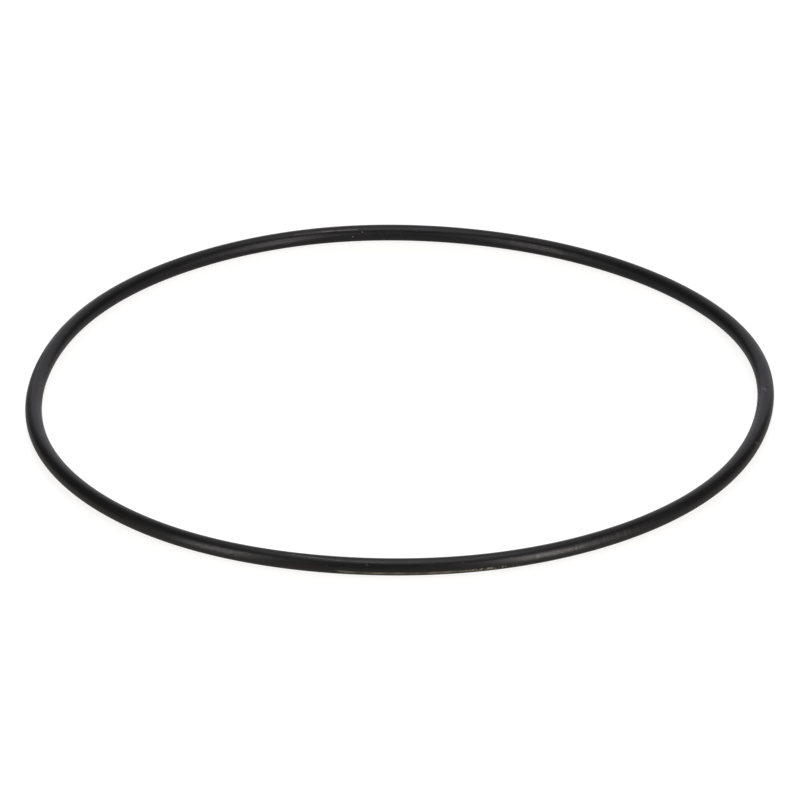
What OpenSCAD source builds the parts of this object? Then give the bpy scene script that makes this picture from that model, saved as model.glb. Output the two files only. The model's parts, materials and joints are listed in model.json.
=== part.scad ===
// Rubber O-ring, one moulded ring with a round section
// The origin is the ring's centre on its parting plane, and Z is the ring's axis

/* [Ring] */
// Inside diameter of the free ring, across the seam's crest
inner_d = 151.99; // [40:0.01:300]
// Diameter of the round section
section_d = 3.53; // [1.78:0.01:7]

/* [Seam] */
// How far the trimmed seam stands out of the round section
seam_height = 0.06; // [0.02:0.01:0.12]
// Width of the seam's flat crest, along the ring's axis
seam_land = 0.16; // [0.06:0.01:0.3]

/* [Hidden] */

// Smoothness of the section and of the ring
section_fn = 96;
ring_fn = 240;

section_r = section_d / 2;
// The seam is a low ridge on the inner and the outer side of the section
seam_crest_r = section_r + seam_height;
// Radius of the circle that the middle of the section runs round
ring_r = inner_d / 2 + seam_crest_r;

// Each flank falls from the crest at 45 degrees and ends inside the round
seam_root_r = section_r - seam_height;
seam_flank = seam_crest_r - seam_root_r;

// Where the two halves of the mould meet: a flat crest between two flanks,
// on both sides of the section
module seam_ridges() {
    crest = seam_land / 2;
    root = crest + seam_flank;
    polygon([
        [seam_crest_r, -crest],
        [seam_crest_r, crest],
        [seam_root_r, root],
        [-seam_root_r, root],
        [-seam_crest_r, crest],
        [-seam_crest_r, -crest],
        [-seam_root_r, -root],
        [seam_root_r, -root]
    ]);
}

module ring_section() {
    circle(d = section_d, $fn = section_fn);
    seam_ridges();
}

module o_ring() {
    color("#2b2b2d")
        rotate_extrude($fn = ring_fn)
            translate([ring_r, 0])
                ring_section();
}

o_ring();
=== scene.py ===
import json
from math import cos, pi, radians, sin, tau

import bpy
import numpy as np
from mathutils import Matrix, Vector


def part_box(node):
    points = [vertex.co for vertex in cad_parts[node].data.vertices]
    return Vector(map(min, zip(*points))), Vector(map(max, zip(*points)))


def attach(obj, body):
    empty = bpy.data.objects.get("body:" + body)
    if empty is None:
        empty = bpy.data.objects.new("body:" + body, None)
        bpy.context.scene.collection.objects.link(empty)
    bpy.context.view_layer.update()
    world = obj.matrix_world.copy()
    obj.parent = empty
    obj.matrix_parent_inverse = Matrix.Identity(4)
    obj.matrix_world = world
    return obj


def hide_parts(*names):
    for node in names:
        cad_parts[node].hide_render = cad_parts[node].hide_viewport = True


# A loose rubber o-ring lying on a pale table, in metres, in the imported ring's frame.
# The ring is modelled as it leaves its mould, then laid down as a loose ring lies.

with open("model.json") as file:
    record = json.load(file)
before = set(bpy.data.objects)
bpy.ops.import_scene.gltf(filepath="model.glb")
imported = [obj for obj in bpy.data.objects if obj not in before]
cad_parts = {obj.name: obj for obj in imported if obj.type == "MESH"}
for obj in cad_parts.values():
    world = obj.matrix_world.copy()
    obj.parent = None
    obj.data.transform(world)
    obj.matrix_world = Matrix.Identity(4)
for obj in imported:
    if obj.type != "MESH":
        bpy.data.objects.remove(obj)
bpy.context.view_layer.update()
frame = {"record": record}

MM = 0.001
MICROMETRE = 0.001 * MM

# The ring's sizes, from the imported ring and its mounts
mounts = {mount["name"]: mount["dims"] for mount in frame["record"]["mounts"]}
inside_r = mounts["inside_seam"]["r_mm"] * MM
outside_r = mounts["outside_seam"]["r_mm"] * MM
seam_width = mounts["inside_seam"]["length_mm"] * MM
section_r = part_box("o_ring")[1].z
ring_r = (inside_r + outside_r) / 2
seam_height = outside_r - ring_r - section_r

# The section's corners are a multiple of four, so that two of them lie on the parting plane
SECTION_STEPS = 76
RING_STEPS = 720
MERGE_WITHIN = 0.01 * MM
SMOOTH_UP_TO = radians(30)

# Length round the ring and round the section, in the millimetres that the materials use
RING_LENGTH = tau * ring_r / MM
SECTION_LENGTH = tau * section_r / MM

# How the loose ring lies: lobes, how far they swing in and out, and the first one's azimuth
LOBES = (
    (3, 0.50 * MM, 107.9),
    (4, 0.40 * MM, 29.4),
    (5, 0.10 * MM, 18.0),
    (6, 0.08 * MM, 23.2),
    (8, 0.08 * MM, 13.4),
)
# The section is rolled about itself, so that the outer seam faces a little down
ROLL = -22.0


def deselect_all():
    bpy.ops.object.select_all(action="DESELECT")


def read(items, name, width=1, kind=float):
    """One number or vector for each vertex, corner or face of a mesh."""
    values = np.zeros(len(items) * width, kind)
    items.foreach_get(name, values)
    return values.reshape(-1, width) if width > 1 else values


def near_parting_plane(ring, height):
    """Which faces have their middle within that height of the parting plane."""
    return np.abs(read(ring.data.polygons, "center", 3)[:, 2]) < height


def select_faces(ring, chosen):
    """Selects the chosen faces and nothing else, and leaves the ring in edit mode."""
    bpy.ops.object.mode_set(mode="EDIT")
    bpy.ops.mesh.select_mode(type="FACE")
    bpy.ops.mesh.select_all(action="DESELECT")
    bpy.ops.object.mode_set(mode="OBJECT")
    ring.data.polygons.foreach_set("select", chosen)
    bpy.ops.object.mode_set(mode="EDIT")


# Node trees

def fill_in(tree, node, inputs):
    """Wires each input that is given a socket, and sets each that is given a value."""
    for name, value in inputs.items():
        if isinstance(value, bpy.types.NodeSocket):
            tree.links.new(value, node.inputs[name])
        else:
            node.inputs[name].default_value = value


def put(tree, kind, inputs=None, out=0, **settings):
    """Adds a node with its settings and inputs, and gives back one of its outputs."""
    node = tree.nodes.new("ShaderNode" + kind)
    for name, value in settings.items():
        setattr(node, name, value)
    fill_in(tree, node, inputs or {})
    return node.outputs[out]


def maths(tree, operation, *values):
    return put(tree, "Math", dict(enumerate(values)), operation=operation)


def ramp(tree, value, start, end, low=0.0, high=1.0):
    """Goes smoothly from low to high as the value goes from start to end."""
    settings = {"Value": value, "From Min": start, "From Max": end, "To Min": low, "To Max": high}
    return put(tree, "MapRange", settings, interpolation_type="SMOOTHSTEP")


# A Mix node takes its numbers at inputs 2 and 3, and its colours at 6 and 7
def blend_numbers(tree, share, first, second):
    return put(tree, "Mix", {0: share, 2: first, 3: second}, data_type="FLOAT")


def blend_colours(tree, share, first, second):
    return put(tree, "Mix", {0: share, 6: first, 7: second}, out=2, data_type="RGBA")


def stretch(tree, vector, scale):
    return put(tree, "Mapping", {"Vector": vector, "Scale": scale})


def noise(tree, vector, scale, detail=2.0, roughness=0.5):
    settings = {"Vector": vector, "Scale": scale, "Detail": detail, "Roughness": roughness}
    return put(tree, "TexNoise", settings)


def stretched_noise(tree, round_ring, cells, detail, roughness=0.5):
    """Noise with its own number of cells in a millimetre along the ring and across it."""
    return noise(tree, stretch(tree, round_ring, (*cells, 1)), 1.0, detail, roughness)


def new_group(name, inputs, outputs):
    """A shader node group with named sockets; gives back the group and what it is given."""
    group = bpy.data.node_groups.new(name, "ShaderNodeTree")
    for socket, kind in inputs.items():
        group.interface.new_socket(socket, in_out="INPUT", socket_type="NodeSocket" + kind)
    for socket, kind in outputs.items():
        group.interface.new_socket(socket, in_out="OUTPUT", socket_type="NodeSocket" + kind)
    return group, group.nodes.new("NodeGroupInput").outputs


def close_group(group, **results):
    ends = group.nodes.new("NodeGroupOutput")
    for name, value in results.items():
        group.links.new(value, ends.inputs[name.capitalize()])
    return group


def use_group(tree, group, inputs):
    node = tree.nodes.new("ShaderNodeGroup")
    node.node_tree = group
    node.label = group.name
    fill_in(tree, node, inputs)
    return node.outputs


def new_material(name):
    material = bpy.data.materials.new(name)
    material.use_nodes = True
    return material, material.node_tree, material.node_tree.nodes["Principled BSDF"]


# Places on the ring

def ring_place(azimuth, tilt):
    """Where a mark lies on the ring, in millimetres along it and round its section.
    Azimuth is seen from above, from +X, and tilt is up from the outward side, as the ring lies."""
    along = (azimuth / 360 + 0.5) % 1.0 * RING_LENGTH
    across = ((tilt - ROLL) / 360 + 0.5) % 1.0 * SECTION_LENGTH
    return along, across


def along_and_across(tree, round_ring):
    split = tree.nodes.new("ShaderNodeSeparateXYZ")
    tree.links.new(round_ring, split.inputs[0])
    return split.outputs["X"], split.outputs["Y"]


def window(tree, value, start, end, soft):
    """1 between start and end, fading out over the soft length beyond them."""
    middle, half = (start + end) / 2, (end - start) / 2
    away = maths(tree, "ABSOLUTE", maths(tree, "SUBTRACT", value, middle))
    return ramp(tree, away, half + soft, half)


def patch(tree, along, across, start, end, soft_along, soft_across):
    """1 on the part of the ring between two (azimuth, tilt) corners, fading out beyond them."""
    (along_0, across_0), (along_1, across_1) = ring_place(*start), ring_place(*end)
    lengthwise = window(tree, along, along_0, along_1, soft_along)
    crosswise = window(tree, across, across_0, across_1, soft_across)
    return maths(tree, "MULTIPLY", lengthwise, crosswise)


def away_from(tree, round_ring, start, end):
    """How far a point of the ring is from the line between two (azimuth, tilt) places,
    in millimetres."""
    first, last = Vector((*ring_place(*start), 0)), Vector((*ring_place(*end), 0))
    line = last - first
    # A speck starts and ends in one place, so its line has no length to divide by
    reach = line / max(line.length_squared, 1e-6)
    from_first = put(tree, "VectorMath", {0: round_ring, 1: first}, operation="SUBTRACT")
    share = put(tree, "VectorMath", {0: from_first, 1: reach}, "Value", operation="DOT_PRODUCT")
    share = put(tree, "Clamp", {0: share})
    nearest = put(tree, "VectorMath", {0: line, "Scale": share}, operation="SCALE")
    return put(tree, "VectorMath", {0: from_first, 1: nearest}, "Value", operation="DISTANCE")


def marks(tree, round_ring, lines, soft):
    """The strength of each mark along its line, and 0 off the marks."""
    shown = None
    for start, end, half_width, strength in lines:
        away = away_from(tree, round_ring, start, end)
        mark = ramp(tree, away, half_width * (1 + soft), half_width * (1 - soft), 0.0, strength)
        shown = maths(tree, "MAXIMUM", shown, mark) if shown else mark
    return shown


# Marks on the ring: from one (azimuth, tilt) to another, half-width in millimetres, strength.
# No mark's line crosses the unwrapping's cuts, at azimuth 180 and along the inner seam, at
# tilt 158, and its width ends there.
# Stray dust, specks and curled fibres
STRAY_DUST = (
    ((97.4, 179), (97.4, 179), 0.12, 0.75),
    ((95.8, 147), (95.8, 147), 0.12, 0.6),
    ((143.5, 182), (143.5, 182), 0.10, 0.5),
    ((253.9, 73), (253.9, 73), 0.09, 0.6),
    ((265.1, 39), (265.3, 38), 0.045, 0.5),
    ((297.0, 15), (297.0, 15), 0.12, 0.6),
    ((340.9, 52), (341.2, 24), 0.06, 0.6),
    ((358.2, 115), (358.7, 106), 0.07, 0.45),
    ((358.7, 106), (358.4, 97), 0.07, 0.45),
    ((358.4, 97), (357.7, 91), 0.08, 0.45),
)
# Thin lines of mould grease that stayed glossy
GREASE = (
    ((253.0, 76), (261.0, 61), 0.09, 1.0),
    ((261.0, 61), (268.0, 56), 0.06, 0.6),
)
# Painted highlights: pale colour painted where the lamps' highlights fall, in a thin line at the
# back left and on the back right spot. The wide mark lies over the inner seam's cut, so it is
# drawn once on each side of it.
PAINTED_HIGHLIGHTS = (
    ((96.6, 126), (102.5, 126), 0.10, 0.30),
    ((102.5, 126), (107.0, 125), 0.10, 0.12),
    ((61.5, 157), (70.5, 157), 0.42, 0.055),
    ((61.5, 159), (70.5, 159), 0.42, 0.055),
    ((62.5, 156), (65.0, 156), 0.15, 0.16),
)
# Stretches where the rubber is scuffed, and the one that was buffed, between two
# (azimuth, tilt) corners, and how far they fade out along and across, in millimetres
# The scuffed stretches lie on the lamps' highlights, and the pale flecks painted in them are
# painted glints
SCUFFED = (
    ((289.5, 9), (298, 26)),
    ((239.5, 11), (245, 27)),
    ((60, 147), (69, 157)),
)
SCUFFED_FADE = (3, 0.4)
BUFFED = ((298, 8), (306, 36))
BUFFED_FADE = (6, 0.7)
# How soft the edges of the marks are, as a share of their half-width
DUST_EDGE, MARK_EDGE = 0.4, 0.6
# Azimuths where the tan line along the seam starts, lies full, breaks up, is left in beads, and
# ends
TAN_LINE_AT = (259.5, 264, 276, 283, 289)
# Its line, in millimetres below and above the seam, its soft edge, its lift at both ends, and
# how far it fades out beyond them
TAN_BELOW, TAN_ABOVE, TAN_EDGE, TAN_LIFT, TAN_FADE = 0.20, 0.16, 0.18, 0.2, 0.8


# Rubber. Colours first, then how much of each shows.

RUBBER = (0.0114, 0.0117, 0.0118, 1)
SEAM_RUBBER = (0.018, 0.0185, 0.0185, 1)
BLOOM = (0.22, 0.22, 0.25, 1)
# Pale: the colour of real dust and fibres, and of the painted highlights, glints and bars
PALE_DUST_AND_HIGHLIGHT = (0.42, 0.40, 0.38, 1)
PALE_TAN = (0.33, 0.295, 0.24, 1)
DARK_TAN = (0.055, 0.048, 0.040, 1)

BLOOM_SHOWN = 0.006
SPECKS_SHOWN = 0.35
# How much pale shows in the buffing strokes: painted bright bars in the right highlight
BARS_IN_STROKES = 0.04
# How much pale shows in the scuffs: painted glints
GLINTS_IN_SCUFFS = 0.12

# The moulded surface and the trimmed seam: roughness, specular level, and how coarse the grain is
RUBBER_ROUGHNESS, RUBBER_SPECULAR, RUBBER_COARSENESS = 0.34, 0.36, 1.0
SEAM_ROUGHNESS, SEAM_SPECULAR, SEAM_COARSENESS = 0.45, 0.30, 2.0
# How much rougher or smoother the patches are, the roughness that the tan line adds, and the
# grease's own
PATCH_ROUGHNESS = 0.03
ROUGHER_ON_TAN_LINE = 0.5
GREASE_ROUGHNESS = 0.18

# Cells of noise in a millimetre, one number or one along the ring and one across it
FINE_CELLS, GRAIN_CELLS, RIPPLE_CELLS, PATCH_CELLS = 6.0, 2.2, 0.5, 0.16
THINNING_CELLS = 0.7
SMEAR_CELLS, BEAD_CELLS = (0.3, 0.5), (2.1, 1.3)
STROKE_CELLS, SCUFF_CELLS = (2.9, 0.2), (0.9, 2.4)

# Heights in micrometres
FINE_HEIGHT, GRAIN_HEIGHT, RIPPLE_HEIGHT = 5.0, 8.0, 5.0
TAN_LINE_HEIGHT, STROKE_HEIGHT, SCUFF_HEIGHT = 4.0, 9.0, 15.0

# Between which two values of its noise each effect comes in
BLOOM_BETWEEN, PATCHES_BETWEEN = (0.45, 0.75), (0.3, 0.7)
STROKES_BETWEEN, SCUFF_GLINTS_BETWEEN = (0.42, 0.58), (0.5, 0.68)
THINNING_BETWEEN, TAN_BETWEEN, THICK_TAN_BETWEEN = (0.3, 0.55), (-0.05, 0.12), (0.36, 0.62)
# What is left of a mark where it is thinnest
THINNEST_LEFT = 0.4

# Settled dust: places for a speck in a millimetre, the share of them that holds one, its edge
# and core as a share of the place's width, and how far upwards the rubber faces there
SPECK_CELLS, SPECK_SHARE = 0.4, 0.08
SPECK_EDGE, SPECK_CORE = 0.036, 0.014
SPECKS_FACING_UP = (0.0, 0.5)

# The tan line: how much of it has gone at its start and where it lies full, and how much more
# at its end; how thick it is at least, at most in the line and at most in the beads, and what
# the last beads keep of that
TAN_GONE_AT_START, TAN_GONE, MORE_GONE_AT_END = 0.5, 0.2, 0.4
TAN_THINNEST, THICKEST_LINE, THICKEST_BEADS, LAST_BEADS_KEEP = 0.1, 0.55, 1.0, 0.15


def rubber_grain():
    """The mould's fine grain, in micrometres of height, and broad uneven patches in the polish."""
    group, given = new_group(
        "rubber grain", {"Place": "Vector"}, {"Height": "Float", "Patches": "Float"}
    )
    place = given["Place"]
    fine = noise(group, place, FINE_CELLS, roughness=0.6)
    grain = noise(group, place, GRAIN_CELLS)
    ripple = noise(group, place, RIPPLE_CELLS, detail=1.0)
    patches = noise(group, place, PATCH_CELLS, detail=3.0, roughness=0.6)
    height = maths(group, "MULTIPLY", fine, FINE_HEIGHT)
    height = maths(group, "MULTIPLY_ADD", grain, GRAIN_HEIGHT, height)
    height = maths(group, "MULTIPLY_ADD", ripple, RIPPLE_HEIGHT, height)
    return close_group(group, height=height, patches=patches)


def settled_dust():
    """Tiny pale specks that have settled on the upper side."""
    group, given = new_group(
        "settled dust", {"Round ring": "Vector", "Share": "Float"}, {"Mask": "Float"}
    )
    cells = group.nodes.new("ShaderNodeTexVoronoi")
    cells.voronoi_dimensions = "2D"
    cells.inputs["Scale"].default_value = SPECK_CELLS
    group.links.new(given["Round ring"], cells.inputs["Vector"])
    lot = put(group, "SeparateColor", {"Color": cells.outputs["Color"]})
    kept = maths(group, "LESS_THAN", lot, given["Share"])
    speck = ramp(group, cells.outputs["Distance"], SPECK_EDGE, SPECK_CORE)
    upward = put(group, "SeparateXYZ", {0: put(group, "NewGeometry", out="Normal")}, out="Z")
    on_top = ramp(group, upward, *SPECKS_FACING_UP)
    mask = maths(group, "MULTIPLY", maths(group, "MULTIPLY", speck, kept), on_top)
    return close_group(group, mask=mask)


def tan_seam_line():
    """A tan line along the trimmed seam, full over one stretch, which ends in beads."""
    group, given = new_group(
        "tan seam line", {"Round ring": "Vector"}, {"Mask": "Float", "Thickness": "Float"}
    )
    round_ring = given["Round ring"]
    along, across = along_and_across(group, round_ring)
    seam = ring_place(0, ROLL)[1]
    start, full, breaks, beaded, end = (ring_place(azimuth, ROLL)[0] for azimuth in TAN_LINE_AT)
    # The line comes down to the seam, and leaves it upwards where only beads are left
    coming = ramp(group, along, start, full, TAN_LIFT, 0.0)
    leaving = ramp(group, along, beaded, end, 0.0, TAN_LIFT)
    across = maths(group, "SUBTRACT", across, maths(group, "ADD", coming, leaving))
    line = window(group, across, seam - TAN_BELOW, seam + TAN_ABOVE, TAN_EDGE)
    smears = stretched_noise(group, round_ring, SMEAR_CELLS, detail=3.0)
    beads = stretched_noise(group, round_ring, BEAD_CELLS, detail=1.0)
    lumps = blend_numbers(group, ramp(group, along, breaks, beaded), smears, beads)
    gone = ramp(group, along, start, full, TAN_GONE_AT_START, TAN_GONE)
    gone = maths(group, "ADD", gone, ramp(group, along, breaks, end, 0.0, MORE_GONE_AT_END))
    left = ramp(group, maths(group, "SUBTRACT", lumps, gone), *TAN_BETWEEN)
    dusty_stretch = window(group, along, start, end, TAN_FADE)
    mask = maths(group, "MULTIPLY", maths(group, "MULTIPLY", line, left), dusty_stretch)
    # The beads are thicker than the line, and the last of them are thin
    thickest = ramp(group, along, breaks, beaded, THICKEST_LINE, THICKEST_BEADS)
    kept = ramp(group, along, beaded, end, 1.0, LAST_BEADS_KEEP)
    thickest = maths(group, "MULTIPLY", thickest, kept)
    thickness = ramp(group, lumps, *THICK_TAN_BETWEEN, TAN_THINNEST, thickest)
    return close_group(group, mask=mask, thickness=thickness)


def thinned_in_places(tree, round_ring, mark):
    """A mark made thinner in places by noise: the grease, and the painted highlights."""
    wear = noise(tree, round_ring, THINNING_CELLS, detail=1.0)
    left = ramp(tree, wear, *THINNING_BETWEEN, THINNEST_LEFT, 1.0)
    return maths(tree, "MULTIPLY", mark, left)


def painted_highlight_marks():
    """Painted highlights: pale colour where the lamps' highlights fall on the ring."""
    group, given = new_group("painted highlights", {"Round ring": "Vector"}, {"Mask": "Float"})
    round_ring = given["Round ring"]
    painted_highlight = marks(group, round_ring, PAINTED_HIGHLIGHTS, MARK_EDGE)
    return close_group(group, mask=thinned_in_places(group, round_ring, painted_highlight))


def finish_rubber(tree, shader, colour, groups, roughness, coarseness):
    """Grain, patches, bloom, settled dust, the tan line along the seam and the painted highlights
    on rubber of that colour.
    Gives back the place round the ring, the colour and the height, which marks are added to."""
    place = stretch(tree, put(tree, "TexCoord", out="Object"), (1 / MM,) * 3)
    round_ring = stretch(tree, put(tree, "UVMap", uv_map="ring"), (RING_LENGTH, SECTION_LENGTH, 0))
    surface = use_group(tree, groups["grain"], {"Place": place})
    specks = use_group(tree, groups["settled"], {"Round ring": round_ring, "Share": SPECK_SHARE})
    tan_line = use_group(tree, groups["tan_line"], {"Round ring": round_ring})
    painted_highlight = use_group(tree, groups["painted_highlight"], {"Round ring": round_ring})
    bloom = ramp(tree, surface["Patches"], *BLOOM_BETWEEN, 0.0, BLOOM_SHOWN)
    colour = blend_colours(tree, bloom, colour, BLOOM)
    specks_shown = maths(tree, "MULTIPLY", specks["Mask"], SPECKS_SHOWN)
    colour = blend_colours(tree, specks_shown, colour, PALE_DUST_AND_HIGHLIGHT)
    # A tan colour along the lower outer seam, dark to pale, which ends in beads
    tan = blend_colours(tree, tan_line["Thickness"], DARK_TAN, PALE_TAN)
    colour = blend_colours(tree, tan_line["Mask"], colour, tan)
    # Painted highlights: pale colour laid where the lamps' highlights fall
    colour = blend_colours(tree, painted_highlight["Mask"], colour, PALE_DUST_AND_HIGHLIGHT)
    smoothest, roughest = roughness - PATCH_ROUGHNESS, roughness + PATCH_ROUGHNESS
    polish = ramp(tree, surface["Patches"], *PATCHES_BETWEEN, smoothest, roughest)
    matt = maths(tree, "MULTIPLY_ADD", tan_line["Mask"], ROUGHER_ON_TAN_LINE, polish)
    tree.links.new(matt, shader.inputs["Roughness"])
    height = maths(tree, "MULTIPLY", surface["Height"], coarseness)
    height = maths(tree, "MULTIPLY_ADD", tan_line["Mask"], TAN_LINE_HEIGHT, height)
    return round_ring, colour, height


def close_rubber(tree, shader, colour, height):
    tree.links.new(colour, shader.inputs["Base Color"])
    bump = put(tree, "Bump", {"Height": height, "Strength": 1.0, "Distance": MICROMETRE})
    tree.links.new(bump, shader.inputs["Normal"])


def buffing_strokes(tree, round_ring, along, across):
    """Fine dull strokes straight across the ring."""
    strokes = stretched_noise(tree, round_ring, STROKE_CELLS, detail=1.0)
    strokes = ramp(tree, strokes, *STROKES_BETWEEN)
    return maths(tree, "MULTIPLY", strokes, patch(tree, along, across, *BUFFED, *BUFFED_FADE))


def scuffed_stretches(tree, along, across):
    shown = None
    for corners in SCUFFED:
        scuffed = patch(tree, along, across, *corners, *SCUFFED_FADE)
        shown = maths(tree, "MAXIMUM", shown, scuffed) if shown else scuffed
    return shown


def moulded_rubber(groups):
    """The moulded surface, with its stray dust, buffing strokes with painted bright bars, scuffs
    with painted glints, and lines of grease.
    """
    material, tree, shader = new_material("moulded rubber")
    shader.inputs["Specular IOR Level"].default_value = RUBBER_SPECULAR
    shader.inputs["Coat Roughness"].default_value = GREASE_ROUGHNESS
    round_ring, colour, height = finish_rubber(
        tree, shader, RUBBER, groups, RUBBER_ROUGHNESS, RUBBER_COARSENESS
    )
    along, across = along_and_across(tree, round_ring)
    colour = blend_colours(tree, marks(tree, round_ring, STRAY_DUST, DUST_EDGE), colour, PALE_DUST_AND_HIGHLIGHT)
    buffed = buffing_strokes(tree, round_ring, along, across)
    # The strokes' bumps, and a pale tint in them that paints the bright bars they show in the
    # highlight
    colour = blend_colours(tree, maths(tree, "MULTIPLY", buffed, BARS_IN_STROKES), colour, PALE_DUST_AND_HIGHLIGHT)
    height = maths(tree, "MULTIPLY_ADD", buffed, STROKE_HEIGHT, height)
    # Scuffs a millimetre or two long, with pale flecks in them that are painted glints, as the
    # scuffed stretches lie on the lamps' highlights
    scuffed = scuffed_stretches(tree, along, across)
    scuffs = stretched_noise(tree, round_ring, SCUFF_CELLS, detail=2.0, roughness=0.6)
    scuffs_here = maths(tree, "MULTIPLY", scuffs, scuffed)
    height = maths(tree, "MULTIPLY_ADD", scuffs_here, SCUFF_HEIGHT, height)
    painted_glints = ramp(tree, scuffs, *SCUFF_GLINTS_BETWEEN, 0.0, GLINTS_IN_SCUFFS)
    colour = blend_colours(tree, maths(tree, "MULTIPLY", painted_glints, scuffed), colour, PALE_DUST_AND_HIGHLIGHT)
    grease = thinned_in_places(tree, round_ring, marks(tree, round_ring, GREASE, MARK_EDGE))
    tree.links.new(grease, shader.inputs["Coat Weight"])
    close_rubber(tree, shader, colour, height)
    return material


def trimmed_seam(groups):
    """The seam's cut crest and flanks, duller and coarser than the moulded surface."""
    material, tree, shader = new_material("trimmed seam")
    shader.inputs["Specular IOR Level"].default_value = SEAM_SPECULAR
    _, colour, height = finish_rubber(
        tree, shader, SEAM_RUBBER, groups, SEAM_ROUGHNESS, SEAM_COARSENESS
    )
    close_rubber(tree, shader, colour, height)
    return material


# The ring

def map_round_ring(ring):
    """Unwraps the ring before it is laid down: once along it, once round its section.
    The outer seam is at half height, and the cuts are at -X and along the inner seam."""
    mesh = ring.data
    corner = read(mesh.loops, "vertex_index", kind=int)
    x, y, z = read(mesh.vertices, "co", 3)[corner].T
    turns = np.stack([np.arctan2(y, x), np.arctan2(z, np.hypot(x, y) - ring_r)], 1) / tau
    # Every face has four corners, and they are kept together where the turns start again
    per_face = turns.reshape(-1, 4, 2)
    first = per_face[:, :1]
    per_face = first + (per_face - first + 0.5) % 1.0 - 0.5
    per_face -= np.round(per_face.mean(1, keepdims=True))
    layer = mesh.uv_layers.new(name="ring")
    layer.data.foreach_set("uv", (per_face + 0.5).astype(np.float32).ravel())


def lay_down(ring):
    """Rolls the section about itself and takes the ring out of round,
    with its box on the frame's centre."""
    mesh = ring.data
    x, y, z = read(mesh.vertices, "co", 3).T
    azimuth, out = np.arctan2(y, x), np.hypot(x, y) - ring_r
    roll = radians(ROLL)
    rolled_out, rolled_up = out * cos(roll) - z * sin(roll), out * sin(roll) + z * cos(roll)
    r = ring_r + rolled_out
    for lobes, swing, peak in LOBES:
        r = r + swing * np.cos(lobes * (azimuth - radians(peak)))
    laid = np.stack([r * np.cos(azimuth), r * np.sin(azimuth), rolled_up], 1)
    laid[:, :2] -= (laid[:, :2].min(0) + laid[:, :2].max(0)) / 2
    mesh.vertices.foreach_set("co", laid.ravel())
    mesh.update()


def moulded_ring():
    deselect_all()
    bpy.ops.mesh.primitive_circle_add(
        vertices=SECTION_STEPS, radius=section_r, location=(ring_r, 0, 0), rotation=(pi / 2, 0, 0)
    )
    ring = bpy.context.object
    ring.name = ring.data.name = "moulded_ring"
    bpy.ops.object.transform_apply(location=True, rotation=True, scale=True)
    bpy.ops.object.mode_set(mode="EDIT")
    bpy.ops.mesh.select_all(action="SELECT")
    bpy.ops.mesh.spin(steps=RING_STEPS, angle=tau, center=(0, 0, 0), axis=(0, 0, 1))
    bpy.ops.mesh.select_all(action="SELECT")
    bpy.ops.mesh.remove_doubles(threshold=MERGE_WITHIN)
    bpy.ops.mesh.normals_make_consistent(inside=False)
    # The seam: the two rows of faces that meet on the parting plane, inside and outside,
    # whose middles are half a row above and below it
    row = section_r * sin(tau / SECTION_STEPS)
    select_faces(ring, near_parting_plane(ring, 0.75 * row))
    bpy.ops.mesh.inset(thickness=row - seam_width / 2, depth=seam_height)
    bpy.ops.object.mode_set(mode="OBJECT")
    groups = {
        "grain": rubber_grain(),
        "settled": settled_dust(),
        "tan_line": tan_seam_line(),
        "painted_highlight": painted_highlight_marks(),
    }
    ring.data.materials.append(moulded_rubber(groups))
    ring.data.materials.append(trimmed_seam(groups))
    trimmed_faces = near_parting_plane(ring, row)
    ring.data.polygons.foreach_set("material_index", trimmed_faces.astype(int))
    map_round_ring(ring)
    lay_down(ring)
    bpy.ops.object.shade_smooth_by_angle(angle=SMOOTH_UP_TO)
    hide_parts("o_ring")
    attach(ring, "root")


# The table, the light and the camera

WHITE = (1, 1, 1, 1)
TABLE_SIZE = 12.0
TABLE_COLOUR = (0.32, 0.30, 0.275, 1)
TABLE_ROUGHNESS = 0.22
# The table is polished in front of the ring and dull behind it
FRONT_POLISH, BACK_POLISH = 1.0, 0.0
# The light that the table gives the camera beside what the lamps give it, near the ring and
# far from it, and how far from the middle it goes from one to the other
WHITE_NEAR, WHITE_FAR = 0.86, 1.0
NEAR_TO_FAR = (0.3, 0.8)
# How much of that light shows in the ring's gloss, in front of the ring and behind it, its
# tints there, and where along Y the front goes over into the back
FRONT_IN_GLOSS, BACK_IN_GLOSS = 0.30, 0.25
FRONT_TINT, BACK_TINT = (1.0, 0.95, 0.88, 1), (0.98, 0.95, 1.0, 1)
FRONT_TO_BACK = (-0.06, 0.04)
# How much of it lights the rubber itself
TABLE_ON_RUBBER = 0.15
# The room in the ring's gloss, and as light from all sides
ROOM_IN_GLOSS = 0.045
ROOM_LIGHT = 0.07


def table_glow(tree, place, front_back):
    """Makes the table white to the camera, and dimmer and tinted in the ring's gloss."""
    away = put(tree, "VectorMath", {0: place}, out="Value", operation="LENGTH")
    white = ramp(tree, away, *NEAR_TO_FAR, WHITE_NEAR, WHITE_FAR)
    path = tree.nodes.new("ShaderNodeLightPath").outputs
    in_gloss = ramp(tree, front_back, *FRONT_TO_BACK, FRONT_IN_GLOSS, BACK_IN_GLOSS)
    seen = maths(tree, "ADD", path["Is Camera Ray"], path["Is Transmission Ray"])
    seen = maths(tree, "MULTIPLY_ADD", path["Is Glossy Ray"], in_gloss, seen)
    seen = maths(tree, "MULTIPLY_ADD", path["Is Diffuse Ray"], TABLE_ON_RUBBER, seen)
    tint = blend_colours(tree, ramp(tree, front_back, *FRONT_TO_BACK), FRONT_TINT, BACK_TINT)
    tint = blend_colours(tree, path["Is Glossy Ray"], WHITE, tint)
    strength = maths(tree, "MULTIPLY", white, seen)
    return put(tree, "Emission", {"Color": tint, "Strength": strength})


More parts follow.
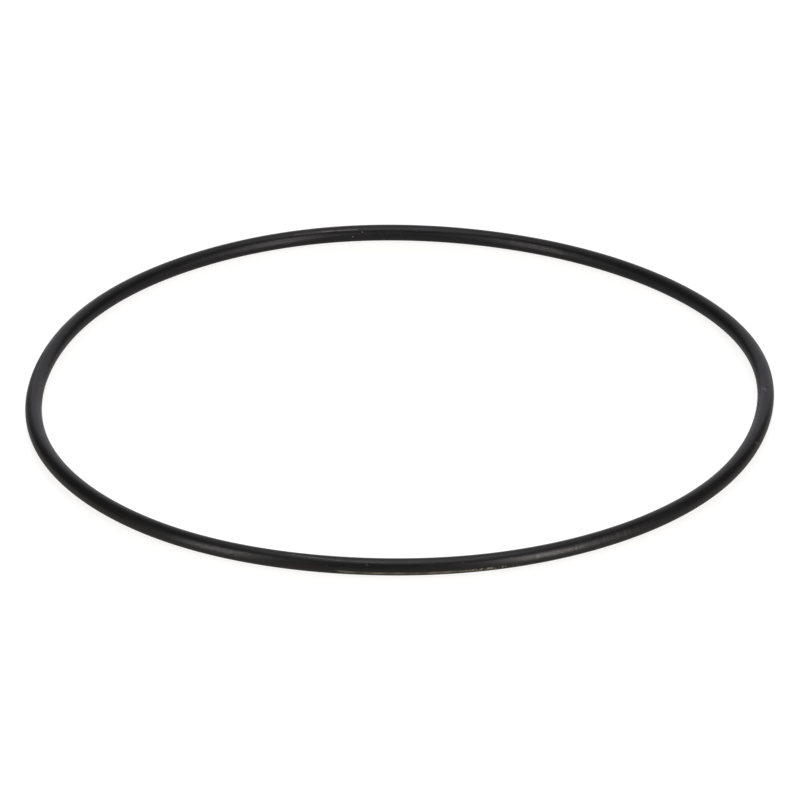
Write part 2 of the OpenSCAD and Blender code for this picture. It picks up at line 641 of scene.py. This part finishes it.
def pale_table():
    deselect_all()
    bpy.ops.mesh.primitive_plane_add(size=TABLE_SIZE, location=(0, 0, -section_r))
    table = bpy.context.object
    table.name = table.data.name = "table_top"
    bpy.ops.object.transform_apply(location=True, rotation=True, scale=True)
    material, tree, shader = new_material("pale table")
    shader.inputs["Base Color"].default_value = TABLE_COLOUR
    shader.inputs["Roughness"].default_value = TABLE_ROUGHNESS
    shader.inputs["Coat Roughness"].default_value = TABLE_ROUGHNESS
    place = put(tree, "TexCoord", out="Object")
    front_back = put(tree, "SeparateXYZ", {0: place}, out="Y")
    polish = ramp(tree, front_back, *FRONT_TO_BACK, FRONT_POLISH, BACK_POLISH)
    tree.links.new(polish, shader.inputs["Coat Weight"])
    # The glow is added beside the polish, which would dim it
    glow = table_glow(tree, place, front_back)
    both = put(tree, "AddShader", {0: shader.outputs[0], 1: glow})
    tree.links.new(both, tree.nodes["Material Output"].inputs["Surface"])
    table.data.materials.append(material)


def white_room():
    """White to the camera, dark in the ring's gloss, and a little light from all sides."""
    world = bpy.data.worlds.new("white room")
    bpy.context.scene.world = world
    world.use_nodes = True
    tree = world.node_tree
    back = tree.nodes["Background"]
    back.inputs["Color"].default_value = WHITE
    path = tree.nodes.new("ShaderNodeLightPath").outputs
    seen = maths(tree, "ADD", path["Is Camera Ray"], path["Is Transmission Ray"])
    gloss = maths(tree, "MULTIPLY", path["Is Glossy Ray"], ROOM_IN_GLOSS)
    other = maths(tree, "SUBTRACT", 1.0, maths(tree, "ADD", seen, path["Is Glossy Ray"]))
    settings = {0: other, 1: ROOM_LIGHT, 2: gloss}
    light = put(tree, "Math", settings, operation="MULTIPLY_ADD", use_clamp=True)
    tree.links.new(maths(tree, "ADD", seen, light), back.inputs["Strength"])


COOL, WARM, WARMER = (0.98, 0.94, 1.0), (1.0, 0.95, 0.95), (1.0, 0.92, 0.91)


def softbox(name, centre, towards, width, height, brightness, tint):
    """A flat lamp facing a point. A brightness of 1 is that of a white surface in full light."""
    deselect_all()
    bpy.ops.object.light_add(type="AREA", location=centre)
    lamp = bpy.context.object
    lamp.name = lamp.data.name = name
    lamp.rotation_euler = (Vector(towards) - Vector(centre)).to_track_quat("-Z", "Y").to_euler()
    lamp.data.shape = "RECTANGLE"
    lamp.data.size, lamp.data.size_y = width, height
    lamp.data.energy = brightness * pi * width * height
    lamp.data.color = tint
    lamp.visible_camera = False


def standing_softbox(name, azimuth, away, width, top, brightness, tint):
    """A softbox that stands at the table's height and faces the ring.
    Azimuth is seen from above, from +X."""
    x, y = away * cos(radians(azimuth)), away * sin(radians(azimuth))
    softbox(name, (x, y, top / 2), (0, 0, top / 2), width, top, brightness, tint)


def studio_light():
    softbox(
        "overhead_panel", centre=(0.02, 0.03, 1.0), towards=(0.02, 0.03, 0),
        width=0.59, height=0.92, brightness=1.66, tint=COOL,
    )
    standing_softbox(
        "left_softbox", azimuth=221.8, away=0.58, width=0.125, top=0.47, brightness=6.0, tint=WARM
    )
    standing_softbox(
        "right_softbox", azimuth=309.4, away=0.77, width=0.165, top=0.57, brightness=9.9,
        tint=WARMER,
    )
    softbox(
        "back_screen", centre=(0.125, 0.9, 0.8), towards=(0.125, 0, 0.8),
        width=0.99, height=1.6, brightness=0.46, tint=COOL,
    )
    softbox(
        "low_screen", centre=(0.125, 0.88, 0.15), towards=(0.125, 0, 0.15),
        width=0.99, height=0.3, brightness=0.27, tint=COOL,
    )
    softbox(
        "back_left_screen", centre=(-0.545, 0.9, 0.45), towards=(-0.545, 0, 0.45),
        width=0.35, height=0.7, brightness=0.17, tint=COOL,
    )
    softbox(
        "right_screen", centre=(0.85, -0.6, 0.7), towards=(0, -0.6, 0.7),
        width=0.58, height=1.4, brightness=0.58, tint=COOL,
    )


# The camera stands where the photograph was taken from
CAMERA_HEIGHT_ANGLE = radians(27.12)
CAMERA_AWAY = 1.6054
CAMERA_LENS = 340.4
CAMERA_ROLL = radians(-0.319)
CAMERA_AIM = (-0.00003, -0.00073, -0.00142)


def photo_camera():
    deselect_all()
    back = Vector((0, -cos(CAMERA_HEIGHT_ANGLE), sin(CAMERA_HEIGHT_ANGLE)))
    bpy.ops.object.camera_add(location=CAMERA_AWAY * back)
    camera = bpy.context.object
    camera.name = camera.data.name = "photo_camera"
    view = Vector(CAMERA_AIM) - camera.location
    turn = view.to_track_quat("-Z", "Y").to_matrix().to_4x4()
    turn.translation = camera.location
    camera.matrix_world = turn
    camera.rotation_mode = "XYZ"
    bpy.context.view_layer.update()
    camera.rotation_euler.rotate_axis("Z", CAMERA_ROLL)
    camera.data.lens = CAMERA_LENS
    bpy.context.scene.camera = camera


bpy.context.scene.view_settings.view_transform = "Standard"
photo_camera()
moulded_ring()
pale_table()
white_room()
studio_light()
